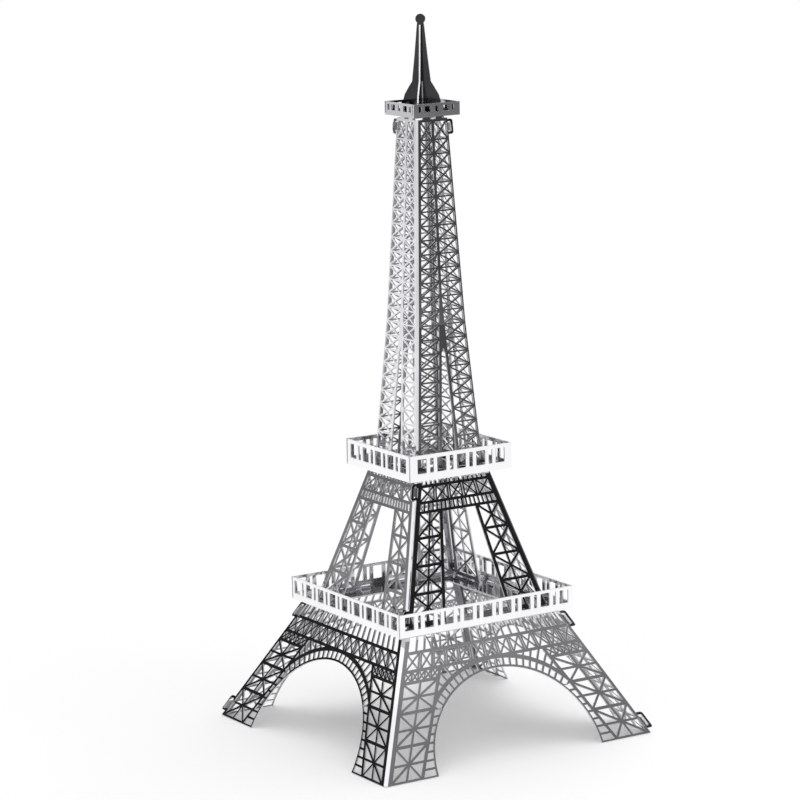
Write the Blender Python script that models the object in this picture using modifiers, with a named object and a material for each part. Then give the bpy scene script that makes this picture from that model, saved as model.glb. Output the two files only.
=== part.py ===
"""Iron lattice tower model, folded from thin etched steel sheet.

The tower is four square sections, one above another: a lower frame with
an arch in each face, a middle frame on four legs, a slender upper frame
and a spire. Trays with pierced railings sit between them. Each frame is
two L-shaped sheets with the same lattice, folded at a narrow 45 degree
corner strip. The outer sheet has loops on both free edges. The inner
sheet has tongues there that pass through the loops, and 45 degree
flanges that close the other two corners.

Sizes are in millimetres and become metres when a point is placed.
+Z is up and the origin is the centre of the footprint.
"""
import math

import bmesh
import bpy
from mathutils import Matrix, Vector

MM = 0.001

# Sheet, folds and joints
SHEET = 0.30            # sheet thickness
PLAY = 0.12             # clearance between two pieces that meet
CHAMFER = 0.50          # how far a corner strip cuts into each face
TAB_WIDTH = 1.8         # tabs that pass through a tray's floor
GALLERY_TAB = 1.2       # narrower tabs under the top gallery
TAB_REACH = 0.55        # how far a tab stands out beyond the floor
LOOP_BAND = 0.45        # width of the metal round a loop's opening
LOOP_INWARD = 0.25      # how far a loop's opening cuts into the bar beside it
TONGUE_REACH = 0.70     # how far a tongue stands out of its loop
RELIEF = 0.20           # gap beside a tongue
RECESS = 0.36           # the outer sheet's free edges stand back from the inner one's flanges
FOOT_TRIM = 0.40        # the lower frame is drawn this much too long, then cut flat

# Heights of the four sections and half widths at those heights
LOWER_BASE, LOWER_BASE_HALF = 0.0, 27.5
LOWER_TOP, LOWER_TOP_HALF = 21.80, 15.88
FIRST_FLOOR, FIRST_HALF, FIRST_RAIL = 21.92, 17.80, 3.96
FIRST_HOLE = 11.0
MIDDLE_BASE, MIDDLE_BASE_HALF = 22.40, 14.73
MIDDLE_TOP, MIDDLE_TOP_HALF = 46.36, 7.65
SECOND_FLOOR, SECOND_HALF, SECOND_RAIL = 46.48, 10.37, 4.51
SECOND_HOLE = 4.9
UPPER_BASE, UPPER_BASE_HALF = 46.90, 6.90
UPPER_BEND, UPPER_BEND_HALF = 71.96, 5.03
UPPER_TOP, UPPER_TOP_HALF = 107.16, 3.22
GALLERY_FLOOR, GALLERY_HALF, GALLERY_RAIL = 107.72, 4.65, 2.28
SPIRE_BASE = 108.14

# Bars of the lattice
EDGE_BAR = 0.85         # bar along each sloping edge
MAIN_BAR = 0.55         # long horizontals and inner leg bars
THIN_BAR = 0.30         # diagonals, slats and rungs

# Lower frame lattice
LEG_LEVELS = (0.35, 5.34, 10.20, 14.58)
SMALL_ROW_TOP = 16.25
CROSS_ROW_TOP = 18.95
LEG_INNER_FOOT, LEG_INNER_TOP = 20.15, 10.53
ARCH_HALF, ARCH_RISE, ARCH_BAND = 16.8, 14.5, 1.75
ARCH_STEPS = 24
LADDER_SPAN = 46.0      # degrees each side of the crown, above the leg bars
LADDER_CELLS = 11
FOOT_CELLS = 5
SLAT_CELLS = 10
CROSS_CELLS = 7
SMALL_CELLS = 3
SPANDREL_BARS = (6.2, 7.6, 9.0, 10.3)  # distances from the face's middle

# Middle frame lattice
MIDDLE_LEVELS = (23.10, 27.67, 32.12, 36.63, 40.76)
MIDDLE_SLATS_TOP, MIDDLE_CROSS_TOP, MIDDLE_HEAD = 42.32, 44.94, 45.95
MIDDLE_INNER_BASE, MIDDLE_INNER_TOP = 6.90, 3.63
MIDDLE_SLAT_CELLS, MIDDLE_CROSS_CELLS, MIDDLE_HEAD_CELLS = 10, 5, 7

# Upper frame lattice
UPPER_ROW = 2.434
UPPER_ROWS_TOP = 103.68
UPPER_HEAD = 106.85
SPLIT_APEX, SPLIT_START = 68.0, 67.1
CENTRE_MEET, CENTRE_SPREAD = 76.56, 0.0678  # height where the centre bars meet, their slope
CENTRE_BAR = 0.26       # half width of a centre bar
COLUMN_BAR = 0.52       # bar along the upper frame's sloping edges

# Joints: (height of a loop's lower end, height of its upper end, how far it stands out)
LOWER_LOOPS = ((0.9, 3.6, 1.05), (18.6, 21.3, 1.05))
MIDDLE_LOOPS = ((22.9, 25.3, 0.65), (42.9, 45.6, 0.65))
UPPER_LOOPS = ((47.4, 49.8, 0.80), (104.4, 107.0, 0.80))

# Spire: (height, half width), the height where the two slots meet, and the disc on the tip
SPIRE_PROFILE = ((SPIRE_BASE, 3.30), (110.0, 3.30), (111.2, 2.95), (112.4, 2.25), (113.4, 1.62),
                 (118.0, 1.10), (123.0, 0.62))
SPIRE_CROSSING = 113.4
DISC_CENTRE, DISC_RADIUS = 124.0, 0.86
DISC_STEPS = 20
STEM_HALF = 0.55        # half width at which the stem runs into the disc


def clear_scene():
    for old in list(bpy.data.objects):
        bpy.data.objects.remove(old, do_unlink=True)


def new_collection(name):
    group = bpy.data.collections.new(name)
    bpy.context.scene.collection.children.link(group)
    return group


def steel(name, shade, roughness):
    """Bright rolled steel with its own shade and polish."""
    material = bpy.data.materials.new(name)
    material.use_nodes = True
    shader = material.node_tree.nodes["Principled BSDF"]
    shader.inputs["Base Color"].default_value = (shade, shade, shade * 1.01, 1.0)
    shader.inputs["Metallic"].default_value = 1.0
    shader.inputs["Roughness"].default_value = roughness
    return material


class Taper:
    """Half width of a square section, straight between its stations."""

    def __init__(self, *stations):
        self.stations = stations

    def half(self, z):
        pairs = list(zip(self.stations, self.stations[1:]))
        for (z0, h0), (z1, h1) in pairs:
            if z <= z1 or (z1, h1) == self.stations[-1]:
                return h0 + (h1 - h0) * (z - z0) / (z1 - z0)

    def edge(self, z):
        """Where a face ends and its corner strip begins."""
        return self.half(z) - CHAMFER


LOWER = Taper((LOWER_BASE, LOWER_BASE_HALF), (LOWER_TOP, LOWER_TOP_HALF))
MIDDLE = Taper((MIDDLE_BASE, MIDDLE_BASE_HALF), (MIDDLE_TOP, MIDDLE_TOP_HALF))
UPPER = Taper((UPPER_BASE, UPPER_BASE_HALF), (UPPER_BEND, UPPER_BEND_HALF),
              (UPPER_TOP, UPPER_TOP_HALF))


# ---------------------------------------------------------------- sheets

def filled(outline, holes):
    """A flat pierced panel as a mesh, drawn as a filled 2D curve."""
    curve = bpy.data.curves.new("drawing", "CURVE")
    curve.dimensions = "2D"
    curve.fill_mode = "BOTH"
    for loop in [outline] + list(holes):
        spline = curve.splines.new("POLY")
        spline.points.add(len(loop) - 1)
        for point, (u, v) in zip(spline.points, loop):
            point.co = (u, v, 0.0, 1.0)
        spline.use_cyclic_u = True
    drawing = bpy.data.objects.new("drawing", curve)
    bpy.context.scene.collection.objects.link(drawing)
    bpy.context.view_layer.update()
    evaluated = drawing.evaluated_get(bpy.context.evaluated_depsgraph_get())
    mesh = bpy.data.meshes.new_from_object(evaluated)
    bpy.data.objects.remove(drawing, do_unlink=True)
    bpy.data.curves.remove(curve)
    return mesh


def add_panel(bm, outline, holes, place):
    """Draw a panel in (u, v) and put each of its points at place(u, v)."""
    mesh = filled(outline, holes)
    panel = bmesh.new()
    panel.from_mesh(mesh)
    inner = [edge for edge in panel.edges if len(edge.link_faces) == 2]
    bmesh.ops.beautify_fill(panel, faces=panel.faces, edges=inner)
    for vert in panel.verts:
        vert.co = Vector(place(vert.co.x, vert.co.y)) * MM
    panel.to_mesh(mesh)
    panel.free()
    bm.from_mesh(mesh)
    bpy.data.meshes.remove(mesh)


def finish_sheet(bm, name, group, material, turn=0.0, flip=False):
    """Weld the panels, face them outwards and give them the sheet's thickness."""
    bmesh.ops.remove_doubles(bm, verts=bm.verts, dist=0.00001)
    if flip:
        bm.transform(Matrix.Diagonal((-1.0, 1.0, 1.0, 1.0)))
    bm.transform(Matrix.Rotation(turn, 4, "Z"))
    bmesh.ops.recalc_face_normals(bm, faces=bm.faces)
    widest = max(bm.faces, key=lambda face: face.calc_area())
    outward = widest.calc_center_median()
    if abs(widest.normal.z) > 0.9:
        outward = Vector((0.0, 0.0, -1.0))
    if widest.normal.dot(outward) < 0.0:
        bmesh.ops.reverse_faces(bm, faces=bm.faces)
    mesh = bpy.data.meshes.new(name)
    bm.to_mesh(mesh)
    bm.free()
    sheet = bpy.data.objects.new(name, mesh)
    sheet.data.materials.append(material)
    group.objects.link(sheet)
    solid = sheet.modifiers.new("sheet", "SOLIDIFY")
    solid.thickness = SHEET * MM
    solid.offset = -1.0
    solid.use_even_offset = True
    return sheet


# ------------------------------------------------- lattice drawing helpers

def quad_between(left, right, low, high):
    """Opening between two sloping lines, cut off at two heights."""
    return [(left(low), low), (right(low), low), (right(high), high), (left(high), high)]


def shares(left, right, count, low, high, bar):
    """Split the space between two lines into equal openings with bars between."""
    def split(z, k):
        return left(z) + (right(z) - left(z)) * k / count
    cells = []
    for k in range(count):
        before = bar / 2 if k > 0 else 0.0
        after = bar / 2 if k < count - 1 else 0.0
        cells.append([(split(low, k) + before, low), (split(low, k + 1) - after, low),
                      (split(high, k + 1) - after, high), (split(high, k) + before, high)])
    return cells


def crossed(cell, bar):
    """Four three-sided openings left by an X of bars in a four-sided opening."""
    centre = Vector((sum(p[0] for p in cell) / 4, sum(p[1] for p in cell) / 4))
    openings = []
    for k in range(4):
        a, b = Vector(cell[k]), Vector(cell[(k + 1) % 4])
        run = (b - a).normalized()
        lean_a = run.angle(centre - a)
        lean_b = run.angle(b - centre)
        start = a + run * (bar / 2 / math.sin(lean_a))
        end = b - run * (bar / 2 / math.sin(lean_b))
        height = (end - start).length / (1 / math.tan(lean_a) + 1 / math.tan(lean_b))
        inward = Vector((-run.y, run.x))
        tip = start + run * (height / math.tan(lean_a)) + inward * height
        openings.append([tuple(start), tuple(end), tuple(tip)])
    return openings


def mirrored(loops):
    return [[(-u, z) for u, z in reversed(loop)] for loop in loops]


def tab_bump(u, z, rise, width=TAB_WIDTH):
    """Outline points of a tab that stands on a horizontal edge, left to right."""
    half = width / 2
    return [(u - half, z), (u - half, z + rise), (u + half, z + rise), (u + half, z)]


def top_tabs(u, z, rise, width=TAB_WIDTH):
    """Two tabs on a face's top edge, drawn from right to left."""
    tab = tab_bump(u, z, rise, width)
    return list(reversed(tab)) + [(-x, height) for x, height in tab]


def edge_with_loops(taper, low, high, loops):
    """Right-hand free edge of an outer sheet's face, upwards, with its loops."""
    free = lambda z: taper.edge(z) - RECESS
    points = [(free(low), low)]
    bevel = LOOP_BAND
    for start, end, reach in loops:
        reach_low, reach_high = taper.half(start) + reach, taper.half(end) + reach
        points += [(free(start), start), (reach_low - bevel, start), (reach_low, start + bevel),
                   (reach_high, end - bevel), (reach_high - bevel, end), (free(end), end)]
    return points + [(free(high), high)]


def loop_openings(taper, loops):
    openings = []
    for start, end, reach in loops:
        a, b = start + LOOP_BAND, end - LOOP_BAND
        near, far = -CHAMFER - LOOP_INWARD, reach - LOOP_BAND
        openings.append([(taper.half(a) + near, a), (taper.half(a) + far, a),
                         (taper.half(b) + far, b), (taper.half(b) + near, b)])
    return openings


def edge_with_tongues(taper, low, high, loops):
    """Right-hand free edge of an inner sheet's face, upwards, with its tongues."""
    points = [(taper.edge(low), low)]
    for start, end, _ in loops:
        bottom, top = start + LOOP_BAND + RELIEF, end - LOOP_BAND - RELIEF
        points += [(taper.edge(start - PLAY), start - PLAY), (taper.edge(bottom), bottom),
                   (taper.half(bottom) + TONGUE_REACH, bottom),
                   (taper.half(top) + TONGUE_REACH, top),
                   (taper.edge(top), top), (taper.edge(end + PLAY), end + PLAY)]
    return points + [(taper.edge(high), high)]


# -------------------------------------------------------- folded L frames

def on_face(taper):
    return lambda u, z: (u, -taper.half(z), z)


def on_fold(taper):
    """Corner strip: u runs 0 to 1 from one face to the other."""
    def place(u, z):
        half, edge = taper.half(z), taper.edge(z)
        return (-edge + (edge - half) * u, -half + (half - edge) * u, z)
    return place


def on_flange(taper):
    """Strip on a face's free edge: u runs 0 to 1 towards the other sheet."""
    def place(u, z):
        half, edge = taper.half(z), taper.edge(z)
        return (edge + (half - edge) * u, -half + (half - edge) * u, z)
    return place


def across_fold(place):
    """The same drawing on the other face of the L."""
    def other(u, z):
        x, y, height = place(u, z)
        return (y, x, height)
    return other


def strip(low, high):
    return [(0.0, low), (1.0, low), (1.0, high), (0.0, high)]


def folded_frame(taper, zones, loops, outer):
    """One L sheet: loops on both free edges of the outer one, tongues and flanges on the inner.

    zones: (low, high, bottom edge, top edge, openings), from the base upwards.
    """
    bm = bmesh.new()
    for low, high, bottom, top, openings in zones:
        here = [loop for loop in loops if low < loop[0] < high]
        free_edge = edge_with_loops if outer else edge_with_tongues
        outline = [(-taper.edge(low), low)] + bottom + free_edge(taper, low, high, here)
        outline += top + [(-taper.edge(high), high)]
        holes = openings + (loop_openings(taper, here) if outer else [])
        for place in (on_face(taper), across_fold(on_face(taper))):
            add_panel(bm, outline, holes, place)
        add_panel(bm, strip(low, high), [], on_fold(taper))
        if outer:
            continue
        stops = [low]
        for start, end, _ in here:
            stops += [start - PLAY, end + PLAY]
        stops.append(high)
        for a, b in zip(stops[::2], stops[1::2]):
            for place in (on_flange(taper), across_fold(on_flange(taper))):
                add_panel(bm, strip(a, b), [], place)
    return bm


# ------------------------------------------------------------ lower frame

def leg_inner(z):
    """Centre line of the inner bar of a lower leg."""
    return LEG_INNER_FOOT + (LEG_INNER_TOP - LEG_INNER_FOOT) * z / SMALL_ROW_TOP


def arch_point(angle, grow=0.0):
    return ((ARCH_HALF + grow) * math.sin(angle), (ARCH_RISE + grow) * math.cos(angle))


def ladder_openings():
    """Openings between the two arcs, over the crown."""
    span = math.radians(LADDER_SPAN)
    half_rung = THIN_BAR / 2 / ARCH_HALF
    low, high = THIN_BAR, ARCH_BAND - THIN_BAR
    cells = []
    for k in range(LADDER_CELLS):
        a = -span + 2 * span * k / LADDER_CELLS + half_rung
        b = -span + 2 * span * (k + 1) / LADDER_CELLS - half_rung
        cells.append([arch_point(b, low), arch_point(b, high), arch_point(a, high),
                      arch_point(a, low)])
    return cells


def foot_openings():
    """Openings between the arch and the inner bar of the right leg."""
    arch = lambda z: ARCH_HALF * math.sqrt(1 - (z / ARCH_RISE) ** 2) + THIN_BAR
    bar = lambda z: leg_inner(z) - MAIN_BAR / 2
    step = (LEG_LEVELS[2] - LEG_LEVELS[0]) / FOOT_CELLS
    cells = []
    for k in range(FOOT_CELLS):
        low = LEG_LEVELS[0] + step * k + THIN_BAR / 2
        high = LEG_LEVELS[0] + step * (k + 1) - THIN_BAR / 2
        cells.append(quad_between(arch, bar, low, high))
    return cells


def spandrel_openings():
    """Openings between the arch, the leg and the crossed row, on the right."""
    def above_arch(u):
        return (ARCH_RISE + ARCH_BAND) * math.sqrt(1 - (u / (ARCH_HALF + ARCH_BAND)) ** 2)
    ceiling = SMALL_ROW_TOP - MAIN_BAR / 2
    cells = []
    for a, b in zip(SPANDREL_BARS, SPANDREL_BARS[1:]):
        cells.append([(a + THIN_BAR / 2, above_arch(a) + THIN_BAR),
                      (b - THIN_BAR / 2, above_arch(b) + THIN_BAR),
                      (b - THIN_BAR / 2, ceiling), (a + THIN_BAR / 2, ceiling)])
    return cells


def lower_openings():
    leg = []
    outer = lambda z: LOWER.edge(z) - EDGE_BAR
    inner = lambda z: leg_inner(z) + MAIN_BAR / 2
    for low, high in zip(LEG_LEVELS, LEG_LEVELS[1:]):
        low, high = low + MAIN_BAR / 2, high - MAIN_BAR / 2
        leg += crossed(quad_between(inner, outer, low, high), THIN_BAR)
    leg += shares(inner, outer, SMALL_CELLS, LEG_LEVELS[-1] + MAIN_BAR / 2,
                  SMALL_ROW_TOP - MAIN_BAR / 2, THIN_BAR)
    leg += spandrel_openings() + foot_openings()
    left = lambda z: -outer(z)
    band = shares(left, outer, CROSS_CELLS, SMALL_ROW_TOP + MAIN_BAR / 2,
                  CROSS_ROW_TOP - MAIN_BAR / 2, MAIN_BAR)
    band += shares(left, outer, SLAT_CELLS, CROSS_ROW_TOP + MAIN_BAR / 2,
                   LOWER_TOP - MAIN_BAR, THIN_BAR)
    return leg + mirrored(leg) + band + ladder_openings()


def lower_frame(outer):
    base = LOWER_BASE - FOOT_TRIM
    arch = [arch_point(math.radians(-90 + 180 * k / ARCH_STEPS)) for k in range(ARCH_STEPS + 1)]
    bottom = [(-ARCH_HALF, base)] + arch + [(ARCH_HALF, base)]
    top = top_tabs(4.0, LOWER_TOP, SHEET + PLAY + TAB_REACH)
    zone = (base, LOWER_TOP, bottom, top, lower_openings())
    return folded_frame(LOWER, [zone], LOWER_LOOPS, outer)


# ----------------------------------------------------------- middle frame

def middle_inner(z):
    """Centre line of the inner bar of a middle leg."""
    low, high = MIDDLE_BASE, MIDDLE_LEVELS[-1]
    return MIDDLE_INNER_BASE + (MIDDLE_INNER_TOP - MIDDLE_INNER_BASE) * (z - low) / (high - low)


def middle_openings():
    leg = []
    outer = lambda z: MIDDLE.edge(z) - EDGE_BAR
    inner = lambda z: middle_inner(z) + MAIN_BAR / 2
    for low, high in zip(MIDDLE_LEVELS, MIDDLE_LEVELS[1:]):
        low, high = low + MAIN_BAR / 2, high - MAIN_BAR / 2
        leg += crossed(quad_between(inner, outer, low, high), THIN_BAR)
    left = lambda z: -outer(z)
    band = shares(left, outer, MIDDLE_SLAT_CELLS, MIDDLE_LEVELS[-1] + MAIN_BAR / 2,
                  MIDDLE_SLATS_TOP - MAIN_BAR / 2, THIN_BAR)
    band += shares(left, outer, MIDDLE_CROSS_CELLS, MIDDLE_SLATS_TOP + MAIN_BAR / 2,
                   MIDDLE_CROSS_TOP - MAIN_BAR / 2, MAIN_BAR)
    band += shares(left, outer, MIDDLE_HEAD_CELLS, MIDDLE_CROSS_TOP + THIN_BAR, MIDDLE_HEAD,
                   THIN_BAR)
    return leg + mirrored(leg) + band


def middle_frame(outer):
    base, gap_top = MIDDLE_BASE, MIDDLE_LEVELS[-1] - MAIN_BAR / 2
    inner_low = middle_inner(base) - MAIN_BAR / 2
    inner_high = middle_inner(gap_top) - MAIN_BAR / 2
    foot = tab_bump(10.6, base, -(SHEET + PLAY + TAB_REACH))
    right = [(inner_high, gap_top), (inner_low, base)] + foot
    bottom = mirrored([right])[0] + right
    top = top_tabs(2.4, MIDDLE_TOP, SHEET + PLAY + TAB_REACH)
    zone = (MIDDLE_BASE, MIDDLE_TOP, bottom, top, middle_openings())
    return folded_frame(MIDDLE, [zone], MIDDLE_LOOPS, outer)


# ------------------------------------------------------------ upper frame

def centre_line(z):
    """Distance of a centre bar's own middle from the face's middle."""
    return max(0.0, CENTRE_SPREAD * (CENTRE_MEET - z))


def split_half(z):
    """Half width of the gap between the two columns."""
    return centre_line(z) - CENTRE_BAR


def column_inner(z):
    """Inner side of a column's openings."""
    return centre_line(z) + CENTRE_BAR


def upper_rows():
    count = int((UPPER_ROWS_TOP - UPPER_BASE) / UPPER_ROW)
    rows = [UPPER_ROWS_TOP - UPPER_ROW * k for k in range(count + 1)]
    return list(reversed(rows))


def upper_openings(low_limit, high_limit):
    outer = lambda z: UPPER.edge(z) - COLUMN_BAR
    rows = [z for z in upper_rows() if low_limit - 0.1 <= z <= high_limit + 0.1]
    pairs = list(zip(rows[::2], rows[2::2]))
    if len(rows) % 2 == 0:
        pairs.append((rows[-2], rows[-1]))
    if high_limit > UPPER_ROWS_TOP:
        pairs.append((UPPER_ROWS_TOP, UPPER_HEAD))
    column = []
    for low, high in pairs:
        column.append(quad_between(column_inner, outer, low + THIN_BAR / 2, high - THIN_BAR / 2))
    return column + mirrored(column)


def upper_frame(outer):
    base = UPPER_BASE
    foot = tab_bump(4.2, base, -(SHEET + PLAY + TAB_REACH))
    right = [(split_half(SPLIT_START), SPLIT_START), (split_half(base), base)] + foot
    bottom = mirrored([right])[0] + [(0.0, SPLIT_APEX)] + right
    rise = GALLERY_FLOOR + SHEET + TAB_REACH - UPPER_TOP
    top = top_tabs(1.3, UPPER_TOP, rise, GALLERY_TAB)
    zones = [(UPPER_BASE, UPPER_BEND, bottom, [], upper_openings(UPPER_BASE, UPPER_BEND)),
             (UPPER_BEND, UPPER_TOP, [], top, upper_openings(UPPER_BEND, UPPER_TOP))]
    return folded_frame(UPPER, zones, UPPER_LOOPS, outer)


# ------------------------------------------------------------------ trays

def rect(x0, y0, x1, y1):
    return [(x0, y0), (x1, y0), (x1, y1), (x0, y1)]


def turned(loop, quarter):
    for _ in range(quarter):
        loop = [(-v, u) for u, v in loop]
    return loop


def railing_openings(sizes, centres, low, high):
    """Openings of one railing, mirrored about its middle."""
    openings = []
    for size, centre in zip(sizes, centres):
        openings.append(rect(centre - size / 2, low, centre + size / 2, high))
        if centre > 0:
            openings.append(rect(-centre - size / 2, low, -centre + size / 2, high))
    return openings


def floor_slots(radius, station, width=TAB_WIDTH, depth=0.90):
    """Slots for the tabs of the frame standing at that distance from the middle."""
    half = width / 2 + PLAY
    slots = []
    for side in (-1, 1):
        middle = side * station
        slot = rect(middle - half, -radius - depth / 2, middle + half, -radius + depth / 2)
        slots += [turned(slot, quarter) for quarter in range(4)]
    return slots


def tray(floor_z, half, rail, openings, floor_holes):
    """Floor with four folded-up railings; two of them butt between the others."""
    short = half - SHEET - PLAY
    bm = bmesh.new()
    floor = []
    for quarter in range(0, 4, 2):
        floor += turned([(half, -half), (half, -short), (half, short), (half, half)], quarter)
    add_panel(bm, floor, floor_holes, lambda u, v: (u, v, floor_z))
    for quarter in range(4):
        reach = half if quarter % 2 == 0 else short
        spin = Matrix.Rotation(quarter * math.pi / 2, 3, "Z")
        place = lambda u, v: spin @ Vector((u, -half, v))
        add_panel(bm, rect(-reach, floor_z, reach, floor_z + rail), openings, place)
    return bm


def lean_at(taper, z):
    """Distance from the middle at which a frame's sheet crosses a floor."""
    return taper.half(z) - SHEET / 2


def first_platform():
    pitch, wide, narrow = 3.97, 1.85, 0.60
    centres = [pitch * k / 2 for k in range(9)]
    sizes = [wide if k % 2 == 0 else narrow for k in range(9)]
    openings = railing_openings(sizes, centres, FIRST_FLOOR + 1.10, FIRST_FLOOR + 3.46)
    hole = FIRST_HOLE
    holes = [rect(-hole, -hole, hole, hole)]
    holes += floor_slots(lean_at(LOWER, FIRST_FLOOR + SHEET), 4.0)
    holes += floor_slots(lean_at(MIDDLE, FIRST_FLOOR), 10.6)
    return tray(FIRST_FLOOR, FIRST_HALF, FIRST_RAIL, openings, holes)


def second_platform():
    pitch, wide, narrow = 4.0, 1.87, 0.75
    centres = [pitch * k / 2 for k in range(5)]
    sizes = [wide if k % 2 == 0 else narrow for k in range(5)]
    openings = railing_openings(sizes, centres, SECOND_FLOOR + 1.30, SECOND_FLOOR + 3.85)
    hole = SECOND_HOLE
    holes = [rect(-hole, -hole, hole, hole)]
    holes += floor_slots(lean_at(MIDDLE, SECOND_FLOOR + SHEET), 2.4)
    holes += floor_slots(lean_at(UPPER, SECOND_FLOOR), 4.2)
    return tray(SECOND_FLOOR, SECOND_HALF, SECOND_RAIL, openings, holes)


def top_gallery():
    openings = railing_openings([0.60, 1.13, 0.60], [0.0, 1.86, 3.36],
                                GALLERY_FLOOR + 0.85, GALLERY_FLOOR + 1.90)
    holes = floor_slots(lean_at(UPPER, GALLERY_FLOOR + SHEET), 1.3, GALLERY_TAB, 0.70)
    return tray(GALLERY_FLOOR, GALLERY_HALF, GALLERY_RAIL, openings, holes)


# ------------------------------------------------------------------ spire

def spire_disc():
    """Right half of the disc on the tip, upwards from where the stem meets it."""
    stem = math.asin(STEM_HALF / DISC_RADIUS)
    points = []
    for k in range(DISC_STEPS // 2):
        angle = math.pi - stem - (math.pi - stem) * k / (DISC_STEPS // 2)
        points.append((DISC_RADIUS * math.sin(angle), DISC_CENTRE + DISC_RADIUS * math.cos(angle)))
    return points


def spire_plate(wide):
    """The wide plate is slotted from below, the cross plate from above."""
    slot = SHEET / 2 + PLAY
    right = [(h, z) for z, h in SPIRE_PROFILE]
    if wide:
        right += spire_disc()
        points = [(slot, SPIRE_CROSSING), (slot, SPIRE_BASE)] + right
        points.append((0.0, DISC_CENTRE + DISC_RADIUS))
        outline = points + [(-u, z) for u, z in reversed(points) if u > 0.0]
    else:
        top = SPIRE_PROFILE[-1][0]
        points = right + [(slot, top), (slot, SPIRE_CROSSING - PLAY)]
        outline = points + [(-u, z) for u, z in reversed(points)]
    bm = bmesh.new()
    shift = SHEET / 2
    add_panel(bm, outline, [], lambda u, z: (u, -shift, z))
    return bm


# --------------------------------------------------------------- assembly

def floor_cutter(group):
    """Block below the ground, used to cut the feet flat."""
    bpy.ops.mesh.primitive_cube_add(size=1.0)
    block = bpy.context.active_object
    block.name = "floor_cutter"
    block.dimensions = (80 * MM, 80 * MM, 10 * MM)
    block.location = (0.0, 0.0, -5 * MM)
    block.hide_render = True
    block.display_type = "WIRE"
    for owner in list(block.users_collection):
        owner.objects.unlink(block)
    group.objects.link(block)
    return block


def cut_flat(sheet, cutter):
    cut = sheet.modifiers.new("flat_feet", "BOOLEAN")
    cut.operation = "DIFFERENCE"
    cut.solver = "EXACT"
    cut.object = cutter


def build():
    clear_scene()
    tower = new_collection("iron_lattice_tower")
    cutter = floor_cutter(new_collection("cutters"))
    frame_steel = steel("frame_steel", 0.62, 0.12)
    platform_steel = steel("platform_steel", 0.80, 0.15)
    spire_steel = steel("spire_steel", 0.12, 0.12)
    half_turn = math.pi
    front = finish_sheet(lower_frame(True), "lower_frame_front", tower, frame_steel)
    back = finish_sheet(lower_frame(False), "lower_frame_back", tower, frame_steel, half_turn)
    cut_flat(front, cutter)
    cut_flat(back, cutter)
    finish_sheet(first_platform(), "first_platform", tower, platform_steel)
    finish_sheet(middle_frame(True), "middle_frame_right", tower, frame_steel, flip=True)
    finish_sheet(middle_frame(False), "middle_frame_left", tower, frame_steel, half_turn, flip=True)
    finish_sheet(second_platform(), "second_platform", tower, platform_steel)
    finish_sheet(upper_frame(True), "upper_frame_front", tower, frame_steel)
    finish_sheet(upper_frame(False), "upper_frame_back", tower, frame_steel, half_turn)
    finish_sheet(top_gallery(), "top_gallery", tower, platform_steel)
    diagonal = math.pi / 4
    finish_sheet(spire_plate(True), "spire_plate_wide", tower, spire_steel, -diagonal)
    finish_sheet(spire_plate(False), "spire_plate_cross", tower, spire_steel, diagonal)


build()
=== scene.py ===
"""Looks of the iron lattice tower model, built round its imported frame.

Every sheet of the model is drawn again here with its full lattice, at the
same place and size as the CAD sheet it stands for: a flat drawing of the
face is pierced with its openings, folded into place and given the
thickness of the steel. Sizes are in millimetres; +Z is up.
"""
import math

import bmesh
import bpy
from mathutils import Matrix, Quaternion, Vector


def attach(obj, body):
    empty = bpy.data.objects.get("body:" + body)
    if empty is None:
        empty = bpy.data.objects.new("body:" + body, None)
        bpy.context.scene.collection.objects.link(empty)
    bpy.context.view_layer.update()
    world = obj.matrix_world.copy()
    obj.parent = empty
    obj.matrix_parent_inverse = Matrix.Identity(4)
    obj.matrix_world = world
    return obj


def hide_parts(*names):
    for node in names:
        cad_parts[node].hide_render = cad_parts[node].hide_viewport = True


MM = 0.001

# Sheet, folds and joints
SHEET = 0.25            # real thickness of the etched steel
TRAY_SHEET = 0.30       # thickness at which the CAD trays butt together
PLAY = 0.12             # clearance between two pieces that meet
CHAMFER = 0.50          # how far a corner strip cuts into each face
UPPER_CHAMFER = 0.32    # the same on the upper frame
TAB_WIDTH = 1.8         # tabs that pass through a tray's floor
GALLERY_TAB = 1.2       # narrower tabs under the top gallery
TAB_REACH = 0.55        # how far a tab stands out beyond the floor
LOOP_BAND = 0.42        # width of the metal round a loop's opening
LOOP_ROUND = 0.50       # radius of a loop's outer corners
LOOP_INWARD = 0.30      # how far inside the corner a loop's opening starts
TONGUE_REACH = 0.70     # how far a tongue stands out of its loop
RELIEF = 0.20           # gap beside a tongue

# Where two sheets meet: how far the outer sheet runs past the face's end, how far from that
# end its openings stop, and the part of the inner sheet's flange that is left beside it
LOWER_SEAM = (0.30, 0.28, 0.4)
MIDDLE_SEAM = (0.0, 0.88, 0.58)
UPPER_SEAM = (0.12, 0.15, 0.62)

# Heights of the four sections and half widths at those heights
LOWER_BASE, LOWER_BASE_HALF = 0.0, 27.5
LOWER_TOP, LOWER_TOP_HALF = 21.80, 15.88
FIRST_FLOOR, FIRST_HALF, FIRST_RAIL = 21.92, 17.80, 3.96
FIRST_HOLE = 11.0
MIDDLE_BASE, MIDDLE_BASE_HALF = 22.40, 14.73
MIDDLE_TOP, MIDDLE_TOP_HALF = 46.36, 7.65
SECOND_FLOOR, SECOND_HALF, SECOND_RAIL = 46.48, 10.37, 4.51
SECOND_HOLE = 4.9
UPPER_BASE, UPPER_BASE_HALF = 46.90, 6.90
UPPER_BEND, UPPER_BEND_HALF = 71.96, 5.03
UPPER_TOP, UPPER_TOP_HALF = 107.16, 3.22
GALLERY_FLOOR, GALLERY_HALF, GALLERY_RAIL = 107.72, 4.65, 2.28
RAIL_ROUND = 0.10       # corner radius of the railings' openings

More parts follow.
